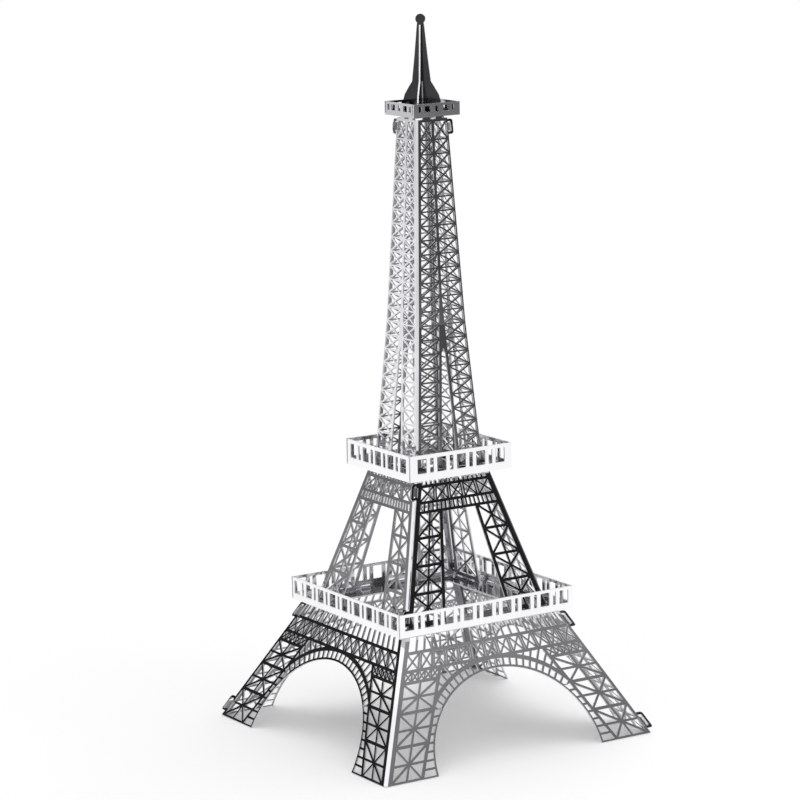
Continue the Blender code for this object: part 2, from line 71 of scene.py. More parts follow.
# Tabs: how far from a face's middle they stand, on a frame's top edge or under its foot
LOWER_TABS, MIDDLE_TABS, UPPER_TABS = 4.0, 2.4, 1.3
MIDDLE_FEET, UPPER_FEET = 10.6, 4.2
SLOT_DEPTH, GALLERY_SLOT_DEPTH = 0.90, 0.70

# Railings: openings' pitch, wide and narrow openings, their lower and upper end above the floor
FIRST_PITCH, FIRST_WIDE, FIRST_NARROW = 3.97, 1.85, 0.60
FIRST_OPEN_LOW, FIRST_OPEN_HIGH = 1.10, 3.46
SECOND_PITCH, SECOND_WIDE, SECOND_NARROW = 4.0, 1.87, 0.75
SECOND_OPEN_LOW, SECOND_OPEN_HIGH = 1.30, 3.85
GALLERY_SIZES, GALLERY_CENTRES = (0.60, 1.13, 0.60), (0.0, 1.86, 3.36)
GALLERY_OPEN_LOW, GALLERY_OPEN_HIGH = 0.85, 1.90

# Spire: (height, half width), the height where the two slots meet, and the disc on the tip
SPIRE_BASE = 108.14
SPIRE_PROFILE = ((SPIRE_BASE, 3.30), (110.0, 3.30), (111.2, 2.95), (112.4, 2.25), (113.4, 1.62),
                 (118.0, 1.10), (123.0, 0.62))
SPIRE_CROSSING = 113.4
DISC_CENTRE, DISC_RADIUS = 124.0, 0.86
DISC_STEPS = 28
STEM_HALF = 0.55        # half width at which the stem runs into the disc

# Places in a sheet's list of materials: its outside, its etched rim, its inside, and the
# same three again for the loops. The rim holds a lighter copy of the steel (painted highlight); on
# the frames the inside holds a darker copy (painted shade) and the loops a near-black one (painted
# dark reflection)
RIM_PLACE, INSIDE_PLACE, LOOP_PLACE = 1, 2, 3

# Bars of the lattice
EDGE_BAR = 0.88         # bar along each sloping edge
INNER_BAR = 0.62        # bar along the inner side of a leg
LONG_BAR = 0.48         # long horizontals
POST_BAR = 0.28         # upright posts of the crossed rows
BRACE = 0.36            # diagonals of the big panels
SLAT = 0.33             # slats and rungs
FINE = 0.26             # diagonals of the small panels
NODE = 0.34             # how far from a crossing the openings are blunted
FINE_NODE = 0.18
LEAST_AREA = 0.012      # openings smaller than this, in square millimetres, stay closed

# Lower frame lattice
LEG_LEVELS = (0.18, 5.34, 10.20, 14.58)
SMALL_ROW_TOP = 16.25
CROSS_ROW_TOP = 18.95
SLATS_TOP = 21.30
LEG_INNER_FOOT, LEG_INNER_TOP = 20.15, 10.53
ARCH_HALF, ARCH_RISE, ARCH_BAND = 16.8, 14.5, 1.72
ARCH_STEPS = 72
LADDER_SPAN = 49.5      # degrees each side of the crown, above the leg bars
LADDER_CELLS = 23
FOOT_CELLS = 8
SMALL_CELLS = 5
CROSS_CELLS = 13
SLOT_SHARE = 0.17       # part of a crossed row's pitch that is a narrow slot
SLAT_CELLS = 20

# Middle frame lattice
MIDDLE_LEVELS = (22.90, 27.67, 32.12, 36.63, 40.76)
MIDDLE_SLATS_TOP, MIDDLE_CROSS_TOP, MIDDLE_HEAD = 42.32, 44.94, 45.95
MIDDLE_INNER_BASE, MIDDLE_INNER_TOP = 6.90, 3.63
MIDDLE_SLAT_CELLS, MIDDLE_CROSS_CELLS, MIDDLE_HEAD_CELLS = 18, 5, 14

# Upper frame lattice
UPPER_ROW = 2.434
UPPER_ROWS_TOP = 103.68
UPPER_HEAD = 106.85
SPLIT_APEX, SPLIT_START = 68.0, 67.1
CENTRE_MEET, CENTRE_SPREAD = 76.56, 0.0678  # height where the centre bars meet, their slope
CENTRE_BAR = 0.26       # half width of a centre bar
COLUMN_BAR = 0.55       # bar along the upper frame's sloping edges

# Joints: (height of a loop's lower end, height of its upper end, how far it stands out)
LOWER_LOOPS = ((0.9, 3.6, 1.05), (18.6, 21.3, 1.05))
MIDDLE_LOOPS = ((22.9, 25.3, 0.65), (42.9, 45.6, 0.65))
UPPER_LOOPS = ((47.4, 49.8, 0.80), (104.4, 107.0, 0.80))

# Camera: where it stands, in millimetres, and how it looks at the tower
CAMERA_PLACE = (-315.5, -489.4, 167.6)
CAMERA_AZIMUTH, CAMERA_DROP, CAMERA_ROLL = 32.34, 10.64, -1.16
CAMERA_LENS, CAMERA_SENSOR = 153.8, 36.0

# Studio: what the steel mirrors, as (elevation in degrees, brightness). ROOM holds all round,
# and the other three take over near their own azimuth, counted from +X
ROOM = ((-90, 1.3), (-8, 1.2), (-3, 0.25), (0, 0.06), (14, 0.06), (24, 0.5), (50, 0.88),
        (58, 1.8))
FLAG = ((-90, 1.2), (-10, 1.2), (-6.5, 0.35), (-4, 0.08), (0, 0.065), (12, 0.02), (24, 0.02),
        (32, 0.18), (40, 0.6))
SHADE = ((-90, 1.3), (-5, 1.2), (0, 0.60), (6, 0.22), (12, 0.025), (28, 0.02), (60, 0.9))
BOX = ((-90, 1.2), (-6, 0.95), (2, 1.1), (20, 1.6), (90, 1.7))
PANELS = ((-57.6, FLAG), (122.4, SHADE), (212.4, BOX))
PANEL_FULL, PANEL_END = 24.0, 44.0  # a panel is whole this near its azimuth, and ends here
FILL = 0.40             # brightness of the room where it only lights and isn't mirrored
FLOOR_SIZE = 0.70       # metres
# Strength, spread in degrees, tilts about X and Y in degrees
OVERHEAD = (1.95, 120.0, 4.0, 18.0)
REAR = (0.40, 45.0, -18.0, 4.0)


class Taper:
    """Half width of a square section, straight between its stations."""

    def __init__(self, *stations, chamfer=CHAMFER):
        self.stations = stations
        self.chamfer = chamfer

    def half(self, z):
        pairs = list(zip(self.stations, self.stations[1:]))
        for (z0, h0), (z1, h1) in pairs:
            if z <= z1 or (z1, h1) == self.stations[-1]:
                return h0 + (h1 - h0) * (z - z0) / (z1 - z0)

    def edge(self, z):
        """Where a face ends and its corner strip begins."""
        return self.half(z) - self.chamfer


LOWER = Taper((LOWER_BASE, LOWER_BASE_HALF), (LOWER_TOP, LOWER_TOP_HALF))
MIDDLE = Taper((MIDDLE_BASE, MIDDLE_BASE_HALF), (MIDDLE_TOP, MIDDLE_TOP_HALF))
UPPER = Taper((UPPER_BASE, UPPER_BASE_HALF), (UPPER_BEND, UPPER_BEND_HALF),
              (UPPER_TOP, UPPER_TOP_HALF), chamfer=UPPER_CHAMFER)


# ---------------------------------------------------------------- sheets

def filled(outline, holes):
    """A flat pierced panel as a mesh, drawn as a filled 2D curve."""
    curve = bpy.data.curves.new("drawing", "CURVE")
    curve.dimensions = "2D"
    curve.fill_mode = "BOTH"
    for loop in [outline] + list(holes):
        spline = curve.splines.new("POLY")
        spline.points.add(len(loop) - 1)
        for point, (u, v) in zip(spline.points, loop):
            point.co = (u, v, 0.0, 1.0)
        spline.use_cyclic_u = True
    drawing = bpy.data.objects.new("drawing", curve)
    bpy.context.scene.collection.objects.link(drawing)
    bpy.context.view_layer.update()
    evaluated = drawing.evaluated_get(bpy.context.evaluated_depsgraph_get())
    mesh = bpy.data.meshes.new_from_object(evaluated)
    bpy.data.objects.remove(drawing, do_unlink=True)
    bpy.data.curves.remove(curve)
    return mesh


def add_panel(bm, outline, holes, place):
    """Draw a panel in (u, v) and put each of its points at place(u, v)."""
    mesh = filled(outline, holes)
    panel = bmesh.new()
    panel.from_mesh(mesh)
    inner = [edge for edge in panel.edges if len(edge.link_faces) == 2]
    bmesh.ops.beautify_fill(panel, faces=panel.faces, edges=inner)
    for vert in panel.verts:
        vert.co = Vector(place(vert.co.x, vert.co.y)) * MM
    panel.to_mesh(mesh)
    panel.free()
    bm.from_mesh(mesh)
    bpy.data.meshes.remove(mesh)


def finish_sheet(bm, node, finish, turn=0.0, flip=False):
    """Weld the panels, face them outwards, thicken them and let them stand for a CAD node."""
    bmesh.ops.remove_doubles(bm, verts=bm.verts, dist=0.00001)
    if flip:
        bm.transform(Matrix.Diagonal((-1.0, 1.0, 1.0, 1.0)))
    bm.transform(Matrix.Rotation(turn, 4, "Z"))
    bmesh.ops.recalc_face_normals(bm, faces=bm.faces)
    widest = max(bm.faces, key=lambda face: face.calc_area())
    outward = widest.calc_center_median()
    if abs(widest.normal.z) > 0.9:
        outward = Vector((0.0, 0.0, -1.0))
    if widest.normal.dot(outward) < 0.0:
        bmesh.ops.reverse_faces(bm, faces=bm.faces)
    mesh = bpy.data.meshes.new(node + "_sheet")
    bm.to_mesh(mesh)
    bm.free()
    sheet = bpy.data.objects.new(node + "_sheet", mesh)
    for material in finish:
        sheet.data.materials.append(material)
    bpy.context.scene.collection.objects.link(sheet)
    solid = sheet.modifiers.new("thickness", "SOLIDIFY")
    solid.thickness = SHEET * MM
    solid.offset = -1.0
    solid.use_even_offset = True
    # On the frames the inside takes the darker copy of the steel (painted shade); every rim takes
    # the lighter etched copy (painted highlight)
    solid.material_offset_rim = RIM_PLACE
    solid.material_offset = INSIDE_PLACE
    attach(sheet, "root")
    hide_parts(node)


# ------------------------------------------------- lattice drawing helpers

def clipped(polygon, point, inward):
    """The part of a convex polygon on the inward side of a line."""
    kept = []
    for a, b in zip(polygon, polygon[1:] + polygon[:1]):
        depth_a, depth_b = (a - point).dot(inward), (b - point).dot(inward)
        if depth_a >= 0.0:
            kept.append(a)
        if depth_a * depth_b < 0.0:
            kept.append(a.lerp(b, depth_a / (depth_a - depth_b)))
    return kept


def inset(polygon, margins):
    """A convex polygon, drawn anticlockwise, with each side moved in by its own margin."""
    corners = [Vector(point) for point in polygon]
    kept = corners
    for a, b, margin in zip(corners, corners[1:] + corners[:1], margins):
        along = (b - a).normalized()
        inward = Vector((-along.y, along.x))
        kept = clipped(kept, a + inward * margin, inward)
    return kept


def area_of(polygon):
    pairs = zip(polygon, polygon[1:] + polygon[:1])
    return sum(a[0] * b[1] - b[0] * a[1] for a, b in pairs) / 2


def worth_cutting(openings):
    """Openings big enough to etch, without repeated corners."""
    kept = []
    for opening in openings:
        ring = [Vector(point) for point in opening]
        ring = [p for k, p in enumerate(ring) if (p - ring[k - 1]).length > 0.004]
        if len(ring) > 2 and area_of(ring) > LEAST_AREA:
            kept.append([tuple(point) for point in ring])
    return kept


def quad_between(left, right, low, high):
    """Four-sided cell between two sloping lines, cut off at two heights."""
    return [(left(low), low), (right(low), low), (right(high), high), (left(high), high)]


def split_row(left, right, count, low, high, bar):
    """Equal cells between two lines, with upright bars between them."""
    def split(z, k):
        return left(z) + (right(z) - left(z)) * k / count
    cells = []
    for k in range(count):
        before = bar / 2 if k > 0 else 0.0
        after = bar / 2 if k < count - 1 else 0.0
        cells.append([(split(low, k) + before, low), (split(low, k + 1) - after, low),
                      (split(high, k + 1) - after, high), (split(high, k) + before, high)])
    return cells


def crossing(cell):
    """Where the two diagonals of a four-sided cell cross."""
    a, b, c, d = [Vector(point) for point in cell]
    across, back = c - a, d - b
    share = (b - a).cross(back) / across.cross(back)
    return a + across * share


def starred(cell, bar, node, split_sides=()):
    """Openings left by bars from the crossing to each corner and to the middle of some sides.

    Sides count from the bottom one, anticlockwise. A sloping side is met at the
    height of the crossing, the bottom and the top side at their middle.
    """
    centre = crossing(cell)
    corners = [Vector(point) for point in cell]
    openings = []
    for side in range(4):
        a, b = corners[side], corners[(side + 1) % 4]
        stops = [a, b]
        if side in split_sides:
            share = 0.5 if side % 2 == 0 else (centre.y - a.y) / (b.y - a.y)
            stops.insert(1, a.lerp(b, share))
        for start, end in zip(stops, stops[1:]):
            wedge = inset([start, end, centre], (0.0, bar / 2, bar / 2))
            outward = ((start - centre).normalized() + (end - centre).normalized()).normalized()
            openings.append(clipped(wedge, centre + outward * node, outward))
    return openings


def crossed_row(left, right, count, low, high, node=FINE_NODE):
    """Row of crossed cells with a narrow slot between each two."""
    def split(z, share):
        return left(z) + (right(z) - left(z)) * share
    openings = []
    gap = SLOT_SHARE / 2
    for k in range(count):
        before = (k + gap if k > 0 else 0.0) / count
        after = (k + 1 - gap if k < count - 1 else count) / count
        post = POST_BAR / 2
        near = lambda z: split(z, before) + (post if before > 0.0 else 0.0)
        far = lambda z: split(z, after) - (post if after < 1.0 else 0.0)
        openings += starred(quad_between(near, far, low, high), FINE, node)
        if k > 0:
            slot_left = lambda z: split(z, (k - gap) / count) + post
            slot_right = lambda z: split(z, (k + gap) / count) - post
            openings.append(quad_between(slot_left, slot_right, low, high))
    return openings


def mirrored(loops):
    return [[(-u, z) for u, z in reversed(loop)] for loop in loops]


def softened(corner, before, after, radius, steps=4):
    """Points of a rounded corner, on the way from before to after."""
    corner, before, after = Vector(corner), Vector(before), Vector(after)
    start = corner + (before - corner).normalized() * radius
    end = corner + (after - corner).normalized() * radius
    points = []
    for k in range(steps + 1):
        t = k / steps
        points.append(tuple(start * (1 - t) ** 2 + corner * (2 * t * (1 - t)) + end * t ** 2))
    return points


def soft_polygon(points, radius, steps=4):
    """A closed outline with all its corners rounded."""
    rounded = []
    for k, corner in enumerate(points):
        rounded += softened(corner, points[k - 1], points[(k + 1) % len(points)], radius, steps)
    return rounded


def tab_bump(u, z, rise, width=TAB_WIDTH):
    """Outline points of a tab that stands on a horizontal edge, left to right."""
    half = width / 2
    return [(u - half, z), (u - half, z + rise), (u + half, z + rise), (u + half, z)]


def top_tabs(u, z, rise, width=TAB_WIDTH):
    """Two tabs on a face's top edge, drawn from right to left."""
    tab = tab_bump(u, z, rise, width)
    return list(reversed(tab)) + [(-x, height) for x, height in tab]


def edge_with_loops(taper, low, high, loops, lap):
    """Right-hand free edge of an outer sheet's face, upwards, with its rounded loops."""
    free = lambda z: taper.edge(z) + lap
    points = [(free(low), low)]
    for start, end, reach in loops:
        foot, head = (free(start), start), (free(end), end)
        outer_low = (taper.half(start) + reach, start)
        outer_high = (taper.half(end) + reach, end)
        points += [foot] + softened(outer_low, foot, outer_high, LOOP_ROUND)
        points += softened(outer_high, outer_low, head, LOOP_ROUND) + [head]
    return points + [(free(high), high)]


def loop_openings(taper, loops):
    openings = []
    for start, end, reach in loops:
        a, b = start + LOOP_BAND, end - LOOP_BAND
        near, far = -LOOP_INWARD, reach - LOOP_BAND
        corners = [(taper.half(a) + near, a), (taper.half(a) + far, a),
                   (taper.half(b) + far, b), (taper.half(b) + near, b)]
        openings.append(soft_polygon(corners, LOOP_ROUND / 2))
    return openings


def edge_with_tongues(taper, low, high, loops):
    """Right-hand free edge of an inner sheet's face, upwards, with its tongues."""
    points = [(taper.edge(low), low)]
    for start, end, _ in loops:
        bottom, top = start + LOOP_BAND + RELIEF, end - LOOP_BAND - RELIEF
        points += [(taper.edge(start - PLAY), start - PLAY), (taper.edge(bottom), bottom),
                   (taper.half(bottom) + TONGUE_REACH, bottom),
                   (taper.half(top) + TONGUE_REACH, top),
                   (taper.edge(top), top), (taper.edge(end + PLAY), end + PLAY)]
    return points + [(taper.edge(high), high)]


# -------------------------------------------------------- folded L frames

def on_face(taper):
    return lambda u, z: (u, -taper.half(z), z)


def on_fold(taper):
    """Corner strip: u runs 0 to 1 from one face to the other."""
    def place(u, z):
        half, edge = taper.half(z), taper.edge(z)
        return (-edge + (edge - half) * u, -half + (half - edge) * u, z)
    return place


def on_flange(taper):
    """Strip on a face's free edge: u runs 0 to 1 towards the other sheet."""
    def place(u, z):
        half, edge = taper.half(z), taper.edge(z)
        return (edge + (half - edge) * u, -half + (half - edge) * u, z)
    return place


def across_fold(place):
    """The same drawing on the other face of the L."""
    def other(u, z):
        x, y, height = place(u, z)
        return (y, x, height)
    return other


def strip(low, high, width=1.0):
    return [(0.0, low), (width, low), (width, high), (0.0, high)]


def darken_loops(bm, taper):
    """Give the faces of the loops, which stand out beyond the corner, a near-black copy of the
    steel: painted dark reflection.
    """
    for face in bm.faces:
        centre = face.calc_center_median() / MM
        if max(centre.x, centre.y) > taper.half(centre.z) - LOOP_INWARD / 2:
            face.material_index = LOOP_PLACE


def folded_frame(taper, zones, loops, seam, outer):
    """One L sheet: loops on both free edges of the outer one, tongues and flanges on the inner.

    zones: (low, high, bottom edge, top edge, openings), from the base upwards.
    """
    lap, _, flange = seam
    bm = bmesh.new()
    for low, high, bottom, top, openings in zones:
        here = [loop for loop in loops if low < loop[0] < high]
        if outer:
            free_edge = edge_with_loops(taper, low, high, here, lap)
        else:
            free_edge = edge_with_tongues(taper, low, high, here)
        outline = [(-taper.edge(low), low)] + bottom + free_edge
        outline += top + [(-taper.edge(high), high)]
        holes = openings + (loop_openings(taper, here) if outer else [])
        for place in (on_face(taper), across_fold(on_face(taper))):
            add_panel(bm, outline, holes, place)
        add_panel(bm, strip(low, high), [], on_fold(taper))
        if outer:
            continue
        stops = [low]
        for start, end, _ in here:
            stops += [start - PLAY, end + PLAY]
        stops.append(high)
        for a, b in zip(stops[::2], stops[1::2]):
            for place in (on_flange(taper), across_fold(on_flange(taper))):
                add_panel(bm, strip(a, b, flange), [], place)
    if outer:
        darken_loops(bm, taper)
    return bm


# ------------------------------------------------------------ lower frame

def leg_inner(z):
    """Centre line of the inner bar of a lower leg."""
    return LEG_INNER_FOOT + (LEG_INNER_TOP - LEG_INNER_FOOT) * z / SMALL_ROW_TOP


def arch_point(angle, grow=0.0):
    return Vector(((ARCH_HALF + grow) * math.sin(angle), (ARCH_RISE + grow) * math.cos(angle)))


def ladder_angles():
    """Angles of the rungs over the crown, from left to right."""
    span = math.radians(LADDER_SPAN)
    return [-span + 2 * span * k / LADDER_CELLS for k in range(LADDER_CELLS + 1)]


def ladder_openings():
    """Openings between the two arcs, over the crown."""
    half_rung = SLAT / 2 / ARCH_HALF
    low, high = SLAT, ARCH_BAND - SLAT
    cells = []
    for start, end in zip(ladder_angles(), ladder_angles()[1:]):
        a, b = start + half_rung, end - half_rung
        cells.append([tuple(arch_point(b, low)), tuple(arch_point(b, high)),
                      tuple(arch_point(a, high)), tuple(arch_point(a, low))])
    return cells


def foot_openings():
    """Openings between the arch and the inner bar of the right leg."""
    arch = lambda z: ARCH_HALF * math.sqrt(1 - (z / ARCH_RISE) ** 2) + SLAT
    bar = lambda z: leg_inner(z) - INNER_BAR / 2
    step = (LEG_LEVELS[2] - LEG_LEVELS[0]) / FOOT_CELLS
    cells = []
    for k in range(FOOT_CELLS):
        low = LEG_LEVELS[0] + step * k + SLAT / 2
        high = LEG_LEVELS[0] + step * (k + 1) - SLAT / 2
        cells.append(quad_between(arch, bar, low, high))
    return cells


def spandrel_openings():
    """Openings between arch, leg and crossed row, on the right, continuing the rungs."""
    ceiling = SMALL_ROW_TOP - LONG_BAR / 2
    wall = Vector((leg_inner(ceiling) - INNER_BAR / 2, ceiling))
    wall_lean = Vector((leg_inner(0.0) - leg_inner(ceiling), -ceiling)).normalized()
    wall_inward = Vector((wall_lean.y, -wall_lean.x))
    cells = []
    for start, end in zip(ladder_angles(), ladder_angles()[1:]):
        if start < 0.0:
            continue
        a, b = arch_point(start, ARCH_BAND + SLAT / 2), arch_point(end, ARCH_BAND + SLAT / 2)
        cell = inset([b, b * 2.0, a * 2.0, a], (SLAT / 2, 0.0, SLAT / 2, SLAT / 2))
        cell = clipped(cell, Vector((0.0, ceiling)), Vector((0.0, -1.0)))
        cells.append(clipped(cell, wall, wall_inward))
    return cells


def lower_leg(outer):
    """Openings of the right leg and its half of the arch, up to a sloping outer line."""
    leg = []
    inner = lambda z: leg_inner(z) + INNER_BAR / 2
    for low, high in zip(LEG_LEVELS, LEG_LEVELS[1:]):
        cell = quad_between(inner, outer, low + LONG_BAR / 2, high - LONG_BAR / 2)
        leg += starred(cell, BRACE, NODE, (0, 1, 2, 3))
    for cell in split_row(inner, outer, SMALL_CELLS, LEG_LEVELS[-1] + LONG_BAR / 2,
                          SMALL_ROW_TOP - LONG_BAR / 2, POST_BAR):
        leg += starred(cell, FINE, FINE_NODE)
    return leg + spandrel_openings() + foot_openings()


def side_lines(taper, bar, seam, outer):
    """Sloping lines at which a face's openings end: on its fold side, and on its free side."""
    free_bar = seam[1] if outer else bar
    return lambda z: taper.edge(z) - bar, lambda z: taper.edge(z) - free_bar


def lower_openings(outer):
    fold, free = side_lines(LOWER, EDGE_BAR, LOWER_SEAM, outer)
    left = lambda z: -fold(z)
    band = crossed_row(left, free, CROSS_CELLS, SMALL_ROW_TOP + LONG_BAR / 2,
                       CROSS_ROW_TOP - LONG_BAR / 2)
    band += split_row(left, free, SLAT_CELLS, CROSS_ROW_TOP + LONG_BAR / 2, SLATS_TOP, SLAT)
    legs = lower_leg(free) + mirrored(lower_leg(fold))
    return worth_cutting(legs + band + ladder_openings())


def lower_frame(outer):
    """The leaning feet stand on the lower edge of their cut, so the outer side starts higher."""
    run = LOWER_BASE_HALF - LOWER_TOP_HALF
    base = SHEET * run / math.hypot(run, LOWER_TOP - LOWER_BASE)
    foot = math.acos(base / ARCH_RISE)
    angles = [-foot + 2 * foot * k / ARCH_STEPS for k in range(ARCH_STEPS + 1)]
    bottom = [tuple(arch_point(angle)) for angle in angles]
    top = top_tabs(LOWER_TABS, LOWER_TOP, TRAY_SHEET + PLAY + TAB_REACH)
    zone = (base, LOWER_TOP, bottom, top, lower_openings(outer))
    return folded_frame(LOWER, [zone], LOWER_LOOPS, LOWER_SEAM, outer)


# ----------------------------------------------------------- middle frame

def middle_inner(z):
    """Centre line of the inner bar of a middle leg."""
    low, high = MIDDLE_BASE, MIDDLE_LEVELS[-1]
    return MIDDLE_INNER_BASE + (MIDDLE_INNER_TOP - MIDDLE_INNER_BASE) * (z - low) / (high - low)


def middle_leg(outer):
    leg = []
    inner = lambda z: middle_inner(z) + INNER_BAR / 2
    for low, high in zip(MIDDLE_LEVELS, MIDDLE_LEVELS[1:]):
        cell = quad_between(inner, outer, low + LONG_BAR / 2, high - LONG_BAR / 2)
        leg += starred(cell, BRACE, NODE, (0, 2))
    return leg


def middle_openings(outer):
    fold, free = side_lines(MIDDLE, EDGE_BAR, MIDDLE_SEAM, outer)
    left = lambda z: -fold(z)
    band = split_row(left, free, MIDDLE_SLAT_CELLS, MIDDLE_LEVELS[-1] + LONG_BAR / 2,
                     MIDDLE_SLATS_TOP - LONG_BAR / 2, SLAT)
    band += crossed_row(left, free, MIDDLE_CROSS_CELLS, MIDDLE_SLATS_TOP + LONG_BAR / 2,
                        MIDDLE_CROSS_TOP - LONG_BAR / 2)
    band += split_row(left, free, MIDDLE_HEAD_CELLS, MIDDLE_CROSS_TOP + LONG_BAR / 2,
                      MIDDLE_HEAD, SLAT)
    return worth_cutting(middle_leg(free) + mirrored(middle_leg(fold)) + band)


def middle_frame(outer):
    base, gap_top = MIDDLE_BASE, MIDDLE_LEVELS[-1] - LONG_BAR / 2
    inner_low = middle_inner(base) - INNER_BAR / 2
    inner_high = middle_inner(gap_top) - INNER_BAR / 2
    foot = tab_bump(MIDDLE_FEET, base, -(TRAY_SHEET + PLAY + TAB_REACH))
    right = [(inner_high, gap_top), (inner_low, base)] + foot
    bottom = mirrored([right])[0] + right
    top = top_tabs(MIDDLE_TABS, MIDDLE_TOP, TRAY_SHEET + PLAY + TAB_REACH)
    zone = (base, MIDDLE_TOP, bottom, top, middle_openings(outer))
    return folded_frame(MIDDLE, [zone], MIDDLE_LOOPS, MIDDLE_SEAM, outer)


# ------------------------------------------------------------ upper frame

def centre_line(z):
    """Distance of a centre bar's own middle from the face's middle."""
    return max(0.0, CENTRE_SPREAD * (CENTRE_MEET - z))


def split_half(z):
    """Half width of the gap between the two columns."""
    return centre_line(z) - CENTRE_BAR


def column_inner(z):
    """Inner side of a column's openings."""
    return centre_line(z) + CENTRE_BAR


def column_openings(outer, low_limit, high_limit):
    count = int((UPPER_ROWS_TOP - UPPER_BASE) / UPPER_ROW)
    rows = [UPPER_HEAD] + [UPPER_ROWS_TOP - UPPER_ROW * k for k in range(count + 1)]
    rows = [z for z in reversed(rows) if low_limit - 0.1 <= z <= high_limit + 0.1]
    column = []
    for low, high in zip(rows, rows[1:]):
        cell = quad_between(column_inner, outer, low + FINE / 2, high - FINE / 2)
        column += starred(cell, FINE, FINE_NODE)
    return column


def upper_openings(low, high, outer):
    fold, free = side_lines(UPPER, COLUMN_BAR, UPPER_SEAM, outer)
    return worth_cutting(column_openings(free, low, high)
                         + mirrored(column_openings(fold, low, high)))


def upper_frame(outer):
    base = UPPER_BASE
    foot = tab_bump(UPPER_FEET, base, -(TRAY_SHEET + PLAY + TAB_REACH))
    right = [(split_half(SPLIT_START), SPLIT_START), (split_half(base), base)] + foot
    bottom = mirrored([right])[0] + [(0.0, SPLIT_APEX)] + right
    rise = GALLERY_FLOOR + TRAY_SHEET + TAB_REACH - UPPER_TOP
    top = top_tabs(UPPER_TABS, UPPER_TOP, rise, GALLERY_TAB)
    below, above = (UPPER_BASE, UPPER_BEND), (UPPER_BEND, UPPER_TOP)
    zones = [(*below, bottom, [], upper_openings(*below, outer)),
             (*above, [], top, upper_openings(*above, outer))]
    return folded_frame(UPPER, zones, UPPER_LOOPS, UPPER_SEAM, outer)


# ------------------------------------------------------------------ trays

def rect(x0, y0, x1, y1):
    return [(x0, y0), (x1, y0), (x1, y1), (x0, y1)]


def square(half):
    return rect(-half, -half, half, half)


def turned(loop, quarter):
    for _ in range(quarter):
        loop = [(-v, u) for u, v in loop]
    return loop


def alternating(count, pitch, wide, narrow):
    """Sizes and centres of openings from a railing's middle outwards, wide and narrow in turn."""
    sizes = [wide if k % 2 == 0 else narrow for k in range(count)]
    return sizes, [pitch * k / 2 for k in range(count)]


def railing_openings(sizes, centres, low, high):
    """Openings of one railing, mirrored about its middle, with small etched corner radii."""
    openings = []
    for size, centre in zip(sizes, centres):
        for middle in {centre, -centre}:
            opening = rect(middle - size / 2, low, middle + size / 2, high)
            openings.append(soft_polygon(opening, RAIL_ROUND, 2))
    return openings


def floor_slots(radius, station, width=TAB_WIDTH, depth=SLOT_DEPTH):
    """Slots for the tabs of the frame standing at that distance from the middle."""
    half = width / 2 + PLAY
    slots = []
    for side in (-1, 1):
        middle = side * station
        slot = rect(middle - half, -radius - depth / 2, middle + half, -radius + depth / 2)
        slots += [turned(slot, quarter) for quarter in range(4)]
    return slots


def tray(floor_z, half, rail, openings, floor_holes):
    """Floor with four folded-up railings; two of them butt between the others."""
    short = half - TRAY_SHEET - PLAY
    bm = bmesh.new()
    floor = []
    for quarter in range(0, 4, 2):
        floor += turned([(half, -half), (half, -short), (half, short), (half, half)], quarter)
    add_panel(bm, floor, floor_holes, lambda u, v: (u, v, floor_z))
    for quarter in range(4):
        reach = half if quarter % 2 == 0 else short
        spin = Matrix.Rotation(quarter * math.pi / 2, 3, "Z")
        place = lambda u, v: spin @ Vector((u, -half, v))
        add_panel(bm, rect(-reach, floor_z, reach, floor_z + rail), openings, place)
    return bm


def lean_at(taper, z):
    """Distance from the middle at which a frame's sheet crosses a floor."""
    return taper.half(z) - SHEET / 2


def first_platform():
    openings = railing_openings(*alternating(9, FIRST_PITCH, FIRST_WIDE, FIRST_NARROW),
                                FIRST_FLOOR + FIRST_OPEN_LOW, FIRST_FLOOR + FIRST_OPEN_HIGH)
    holes = [square(FIRST_HOLE)]
    holes += floor_slots(lean_at(LOWER, FIRST_FLOOR + SHEET), LOWER_TABS)
    holes += floor_slots(lean_at(MIDDLE, FIRST_FLOOR), MIDDLE_FEET)
    return tray(FIRST_FLOOR, FIRST_HALF, FIRST_RAIL, openings, holes)


def second_platform():
    openings = railing_openings(*alternating(5, SECOND_PITCH, SECOND_WIDE, SECOND_NARROW),
                                SECOND_FLOOR + SECOND_OPEN_LOW, SECOND_FLOOR + SECOND_OPEN_HIGH)
    holes = [square(SECOND_HOLE)]
    holes += floor_slots(lean_at(MIDDLE, SECOND_FLOOR + SHEET), MIDDLE_TABS)
    holes += floor_slots(lean_at(UPPER, SECOND_FLOOR), UPPER_FEET)
    return tray(SECOND_FLOOR, SECOND_HALF, SECOND_RAIL, openings, holes)


def top_gallery():
    openings = railing_openings(GALLERY_SIZES, GALLERY_CENTRES, GALLERY_FLOOR + GALLERY_OPEN_LOW,
                                GALLERY_FLOOR + GALLERY_OPEN_HIGH)
    holes = floor_slots(lean_at(UPPER, GALLERY_FLOOR + SHEET), UPPER_TABS, GALLERY_TAB,
                        GALLERY_SLOT_DEPTH)
    return tray(GALLERY_FLOOR, GALLERY_HALF, GALLERY_RAIL, openings, holes)


# ------------------------------------------------------------------ spire

def spire_disc():
    """Right half of the disc on the tip, upwards from where the stem meets it."""
    stem = math.asin(STEM_HALF / DISC_RADIUS)
    points = []
    for k in range(DISC_STEPS // 2):
        angle = math.pi - stem - (math.pi - stem) * k / (DISC_STEPS // 2)
        points.append((DISC_RADIUS * math.sin(angle), DISC_CENTRE + DISC_RADIUS * math.cos(angle)))
    return points


